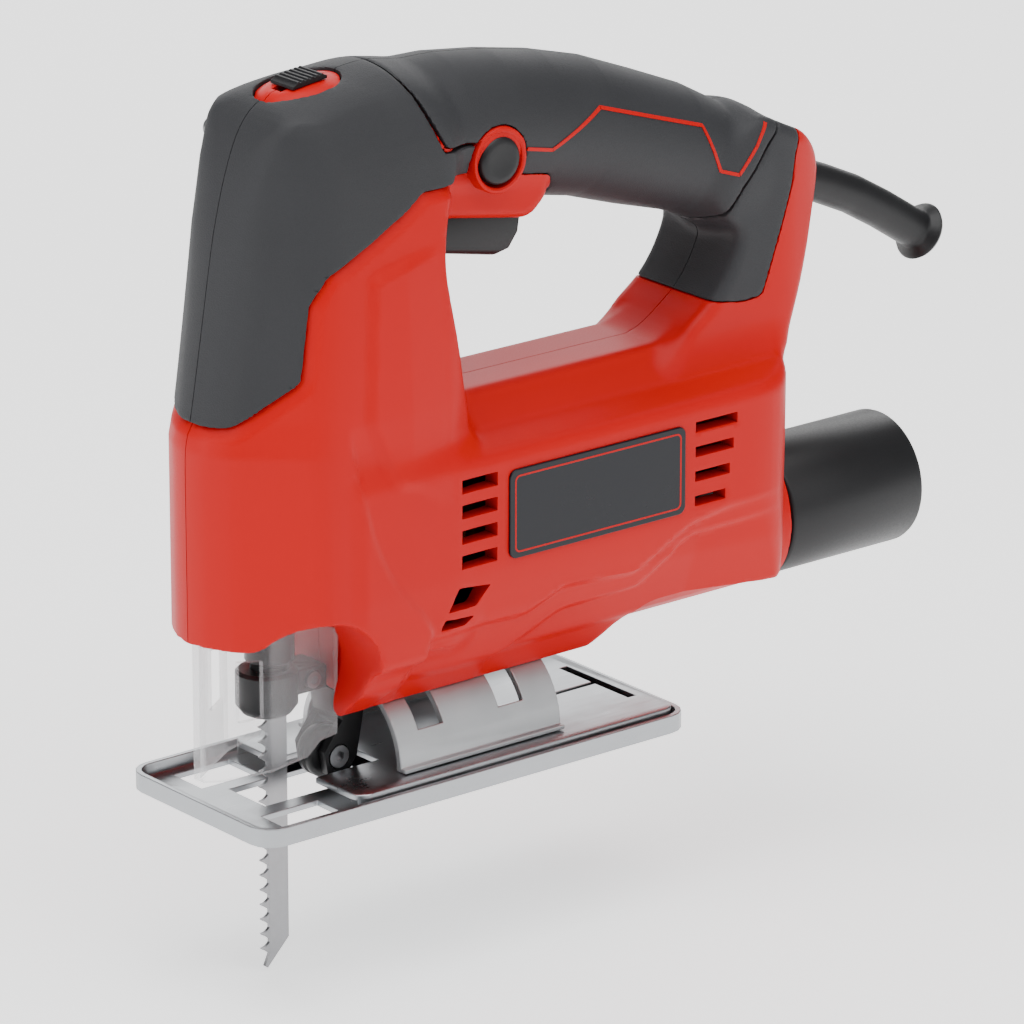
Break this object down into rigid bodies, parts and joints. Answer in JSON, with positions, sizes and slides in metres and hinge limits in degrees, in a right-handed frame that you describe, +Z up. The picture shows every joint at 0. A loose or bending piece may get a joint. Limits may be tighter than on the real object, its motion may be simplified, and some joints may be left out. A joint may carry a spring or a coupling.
{
  "type": "jigsaw power tool",
  "caption": "Corded electric jigsaw with a closed handle, clear blade guard, tilting sole plate, guide roller, dust pipe adapter and a toothed blade.",
  "frame": {"origin": "middle of the sole plate's underside, with the sole square to the blade", "axes": "+X from the blade towards the dust adapter and cord boot, +Y to the saw's right side, +Z up; the blade points down -Z"},
  "size_m": [0.2479, 0.0598, 0.2343],
  "materials": {
    "red_plastic": "satin moulded",
    "soft_grip": "fine grain",
    "black_plastic": "satin moulded",
    "black_steel": "black oxide",
    "zinc_sheet": "zinc plated",
    "steel": "bright",
    "clear_plastic": "clear",
    "aluminium": "as cast",
    "brass": "plain",
    "copper": "copper wire",
    "carbon": "pressed carbon",
    "plate_black": "printed plate"
  },
  "bodies": {
    "saw": {"housing_left": "red_plastic", "housing_right": "red_plastic", "nose_grip_left": "soft_grip", "nose_grip_right": "soft_grip", "handle_grip_left": "soft_grip", "handle_grip_right": "soft_grip", "rear_grip_left": "soft_grip", "rear_grip_right": "soft_grip", "housing_screw_1": "steel", "housing_screw_2": "steel", "housing_screw_3": "steel", "housing_screw_4": "steel", "housing_screw_5": "steel", "housing_screw_6": "steel", "name_plate_left": "plate_black", "name_plate_right": "plate_black", "tilt_clamp_plate": "steel", "tilt_screw_1": "steel", "tilt_screw_2": "steel", "lower_bush": "brass", "upper_bush": "brass", "lower_bush_mount": "aluminium", "upper_bush_mount": "aluminium", "gear_carrier": "aluminium", "crank_bearing": "steel", "front_bearing": "steel", "rear_bearing": "steel", "stator": "steel", "brush_left": "carbon", "brush_right": "carbon", "brush_holder_left": "brass", "brush_holder_right": "brass", "switch_body": "black_plastic", "trigger_spring": "steel", "cable_boot": "black_plastic", "blade_guard": "clear_plastic", "guide_arm": "black_steel", "roller_pin": "steel"},
    "soleplate": {"sole_plate": "zinc_sheet", "sole_deck": "zinc_sheet", "tilt_bracket": "zinc_sheet"},
    "plunger": {"plunger": "steel", "plunger_yoke": "steel", "blade_clamp": "black_steel", "clamp_screw_left": "steel", "clamp_screw_right": "steel", "blade": "steel"},
    "armature": {"armature_shaft": "steel", "armature_core": "steel", "front_winding": "copper", "rear_winding": "copper", "commutator": "copper", "cooling_fan": "black_plastic"},
    "crank": {"crank_gear": "steel", "crank_axle": "steel"},
    "trigger": {"trigger": "black_plastic"},
    "lock_button": {"lock_button": "black_plastic"},
    "blower_slider": {"blower_slider": "black_plastic"},
    "guide_roller": {"guide_roller": "black_steel"},
    "dust_adapter": {"dust_adapter": "black_plastic"}
  },
  "joints": [
    {"name": "sole_tilt", "type": "hinge", "parent": "saw", "child": "soleplate", "pos_m": [-0.0435, 0, 0.0066], "axis": [1, 0, 0], "range_deg": [-45, 45]},
    {"name": "blade_stroke", "type": "slide", "parent": "saw", "child": "plunger", "axis": [0, 0, 1], "range_m": [-0.009, 0.009]},
    {"name": "motor_spin", "type": "hinge", "parent": "saw", "child": "armature", "pos_m": [0.0085, 0, 0.06113], "axis": [1, 0, 0], "continuous": true},
    {"name": "crank_spin", "type": "hinge", "parent": "saw", "child": "crank", "pos_m": [-0.0265, 0, 0.088], "axis": [1, 0, 0], "continuous": true},
    {"name": "trigger_press", "type": "slide", "parent": "saw", "child": "trigger", "axis": [0, 0, 1], "range_m": [0, 0.0045], "stiffness_N_per_m": 600, "springref_m": -0.005, "deforming": ["trigger_spring"]},
    {"name": "lock_press", "type": "slide", "parent": "saw", "child": "lock_button", "axis": [0, 1, 0], "range_m": [0, 0.003], "stiffness_N_per_m": 500, "springref_m": -0.003},
    {"name": "blower_slide", "type": "slide", "parent": "saw", "child": "blower_slider", "axis": [1, 0, 0], "range_m": [0, 0.005]},
    {"name": "roller_spin", "type": "hinge", "parent": "saw", "child": "guide_roller", "pos_m": [-0.0281, 0, 0.0086], "axis": [0, 1, 0], "continuous": true},
    {"name": "adapter_pull", "type": "slide", "parent": "saw", "child": "dust_adapter", "axis": [1, 0, 0], "range_m": [0, 0.025]}
  ],
  "couplings": [
    {"joint": "crank_spin", "follows": "motor_spin", "ratio": -0.18182}
  ]
}
